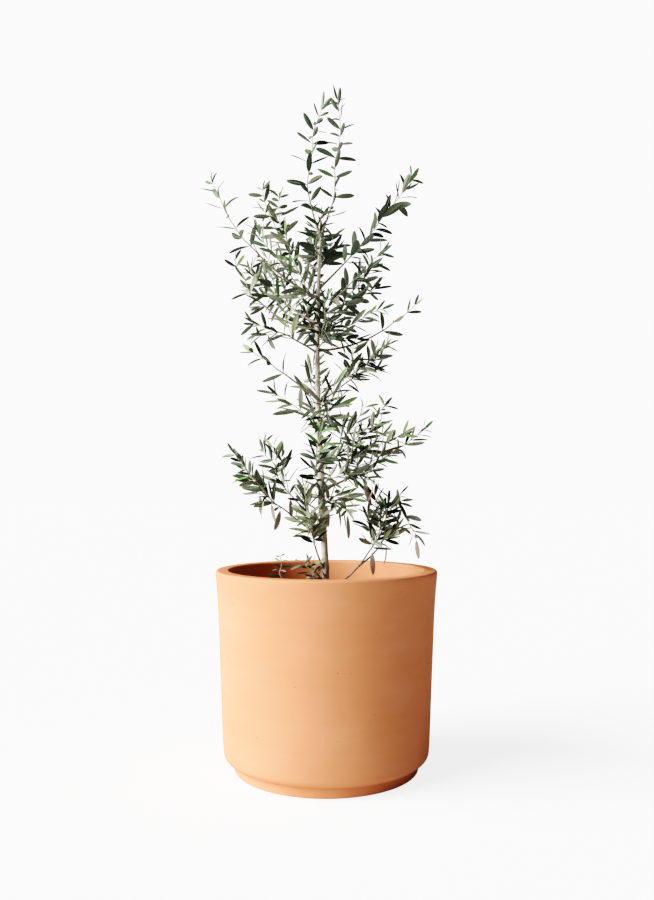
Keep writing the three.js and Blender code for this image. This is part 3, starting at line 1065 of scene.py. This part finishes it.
# Bends a line a little, and not at its foot
def wander(rng, line):
    seed = rng.uniform(0, 100)
    length = lineLength(line)
    bent = []
    for i, point in enumerate(line):
        share = i / (len(line) - 1)
        place = share * length * 28
        # three calls, because noise_vector gives other values in each run
        off = Vector([noise.noise(Vector((seed, place, layer))) for layer in (0.5, 7.5, 14.5)])
        bent.append(point + off * (growth["wander"] * min(1, share * 4)))
    return bent


# Of a few chances to grow towards an empty place, the shoot that fills the most of them
def bestShoot(mass):
    rng = mass.rng
    empty = [site for site, served in zip(mass.sites, mass.served) if not served] or mass.sites
    best, bestScore = None, growth["leastGain"]
    for _ in range(growth["shootChances"]):
        stem = rng.choices(mass.stems, [lineLength(s) for s in mass.stems])[0]
        i = int(rng.uniform(0.06, 0.92) * (len(stem) - 1))
        ahead = (stem[i + 1] - stem[i]).normalized()
        start = (rng.choice(empty) - stem[i]).normalized()
        if not growth["narrowest"] < math.degrees(start.angle(ahead, 0)) < growth["widest"]:
            continue
        free = mass.room(stem[i], start) - rng.uniform(0.3, 0.6) * mass.habit["length"]
        run = min(free, growth["longestShoot"])
        if run < growth["shortestShoot"]:
            continue
        spots = [stem[i] + start * run * s for s in (0.3, 0.5, 0.7, 0.9, 1.1)]
        score = start.z * 0.8 - 3 * leafSpace.hidden(spots)
        for site, served in zip(mass.sites, mass.served):
            along = min(max((site - stem[i]).dot(start), 0.3 * run), run + 10 * mm)
            if (stem[i] + start * along - site).length < growth["reach"]:
                score += -0.5 if served else 1
        if score > bestScore:
            best, bestScore = (stem[i], start, run), score
    return best


# A side shoot bends a little, mostly upwards
def growShoot(mass, twigs, start, ahead, run):
    rng = mass.rng
    steps = max(4, int(run / growth["pointStep"]))
    line = [start]
    bend = Vector((rng.uniform(-1, 1), rng.uniform(-1, 1), rng.uniform(0, 1.6))) * rng.uniform(0.15, 0.5)
    for i in range(steps):
        ahead = (ahead + bend / steps).normalized()
        line.append(line[-1] + ahead * (run / steps))
    radius = growth["twigRadius"] * (0.8 + run / (120 * mm))
    growStem(mass, twigs, line, radius, main=False)


# One stem with its opposite pairs of leaves, each pair turned a quarter from the last
def growStem(mass, twigs, line, radius, main):
    rng = mass.rng
    habit = mass.habit
    length = lineLength(line)
    step = length / (len(line) - 1)
    frames = framesAlong(line)
    nodes = []
    place = habit["bareFoot"] * length if main else rng.uniform(4, 9) * mm
    while place < length - 3 * mm:
        nodes.append(place)
        place += habit["internode"] * rng.uniform(0.82, 1.18) * (0.65 + 0.35 * (1 - place / length))
    nodes.append(length)
    thick = []
    for i in range(len(line)):
        share = i / (len(line) - 1)
        swell = max(math.exp(-((i * step - node) / (1.2 * mm)) ** 2) for node in nodes)
        even = radius + (growth["tipRadius"] - radius) * share ** 0.8
        thick.append(even * (1 + growth["swelling"] * swell))
    twigs.add(line, lambda i, angle: thick[i], sides=7 if main else 5, index=0 if main else 1)
    mass.stems.append(line)
    turn = rng.uniform(0, 2 * math.pi)
    spray = deal(rng, shades[mass.tone])
    for node in nodes:
        i = min(int(node / step), len(line) - 1)
        ahead, side, over = frames[i]
        share = node / length
        mass.serve(line[i])
        turn += math.radians(90 + rng.uniform(-14, 14))
        shade = spray if rng.random() < growth["ownShade"] else deal(rng, shades[mass.tone])
        if share > growth["freshFrom"] and shade != "old" and rng.random() < growth["freshChance"]:
            shade = "fresh"
        for way in (0, math.pi):
            out = side * math.cos(turn + way) + over * math.sin(turn + way)
            addLeaf(mass, line[i] + out * thick[i] * 0.6, ahead, levelled(out, ahead), share, shade)
    addLeaf(mass, line[-1], frames[-1][0], frames[-1][1], 1.2, spray)


def deal(rng, weights):
    return rng.choices(list(weights), list(weights.values()))[0]


# Pairs on a leaning shoot turn towards level
def levelled(out, ahead):
    flat = Vector((out.x, out.y, out.z * (1 - growth["levelling"])))
    flat -= ahead * flat.dot(ahead)
    return flat.normalized() if flat.length > 1e-4 else out


def scatter(rng, amount):
    return Vector((rng.gauss(0, 1), rng.gauss(0, 1), rng.gauss(0, 1))) * amount


# A leaf takes the freest of a few ways to turn. Where none is free, it doesn't grow.
def addLeaf(mass, base, ahead, out, share, shade):
    rng = mass.rng
    habit = mass.habit
    young = min(1, max(0, (share - 0.6) / 0.6))
    length = habit["length"] * rng.uniform(0.78, 1.15) * (1 - 0.4 * young)
    taken = leafSpace.around(base, length)
    best, bestScore = None, -growth["spreading"]
    for _ in range(growth["leafChances"]):
        lean = math.radians(habit["angle"] + rng.uniform(-14, 14) - 34 * young)
        along = ahead * math.cos(lean) + out * math.sin(lean) + scatter(rng, 0.1)
        along.z = along.z * (0.8 + 0.2 * young) - habit["hang"] * rng.uniform(-0.5, 2) * (1 - young)
        along.normalize()
        spots = [base + along * length * s for s in (0.25, 0.4, 0.55, 0.7, 0.85, 1)]
        gap = 1
        if len(taken):
            gap = np.sqrt(((taken[:, None, :] - np.array(spots)[None, :, :]) ** 2).sum(2).min())
        score = min(gap, growth["clearance"]) + 0.8 * min(0, mass.depth(spots[-1]) + 5 * mm)
        score += growth["spreading"] * (1 - leafSpace.hidden(spots))
        if gap > growth["crowding"] and score > bestScore:
            best, bestScore = (along, spots), score
    if best is None:
        return
    leafSpace.take(best[1])
    placeLeaf(mass, base, best[0], ahead, length, shade)


# Its upper side faces up, outwards and along the stem, each a little, and partly anywhere
def placeLeaf(mass, base, along, ahead, length, shade):
    rng = mass.rng
    outward = Vector((base.x, base.y, 0)).normalized()
    facing = Vector((rng.uniform(-1, 1), rng.uniform(-1, 1), 0))
    normal = up * 0.25 + outward * 0.35 + ahead * 0.2 + facing * 0.7 + scatter(rng, 0.3)
    mass.leaves.append({
        "base": base, "along": along, "normal": normal, "length": length,
        "width": length * mass.habit["width"] * rng.uniform(0.85, 1.15),
        "curl": rng.uniform(-0.2, 0.7), "fold": rng.uniform(0.15, 0.5), "twist": rng.uniform(-0.6, 0.6),
        "upper": shade, "lower": "fawn" if shade == "old" else deal(rng, undersides[mass.tone]),
    })


# Old leaves hang on short stalks from the lowest parts of the stems
def hangOldLeaves(mass, twigs):
    rng = mass.rng
    spots = sorted((p for stem in mass.stems for p in stem[2:]), key=lambda p: p.z)
    hung = []
    for spot in spots:
        if len(hung) == mass.hanging:
            break
        if all((spot - h).length > growth["oldGap"] for h in hung):
            hung.append(spot)
            along = (Vector((0, 0, -1)) + scatter(rng, 0.14)).normalized()
            base = spot + along * rng.uniform(*growth["oldStalk"])
            stalk = [spot, (spot + base) / 2, base]
            twigs.add(stalk, lambda i, angle: growth["tipRadius"], sides=5, index=1)
            placeLeaf(mass, base, along, up, mass.habit["length"] * rng.uniform(0.85, 1.1), "old")
            mass.leaves[-1]["width"] *= 1.25


# The crown's masses in three pieces by height, so that none has too many faces, and all their twigs in one
def makeCrown():
    leafLooks = leafMaterials()
    twigLooks = [plainMaterial("twig", growth["twig"], 0.8),
                 plainMaterial("young twig", growth["youngTwig"], 0.75)]
    twigs = Tubes()
    for part, low, high in (("upper", 0.72, 2), ("middle", 0.54, 0.72), ("lower", 0, 0.54)):
        group = [n for n in namesOf("leaves-") if low < sum(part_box("leaves-" + n), Vector()).z / 2 <= high]
        leaves = []
        for name in group:
            leaves += growMass(name, twigs).leaves
        print(part, "crown has", len(leaves), "leaves in", len(group), "masses")
        makeLeafMesh(f"{part}-leaves", leaves, leafLooks, ["leaves-" + n for n in group])
    fit(twigs.piece("twigs", twigLooks), "bark")


makeCamera()
makeLight()
makeRoom()
setTone()
makeFloor()
print("camera, light and floor made")
makePot()
makeSoil()
makeTrunk()
makeBoughs()
makeCrown()
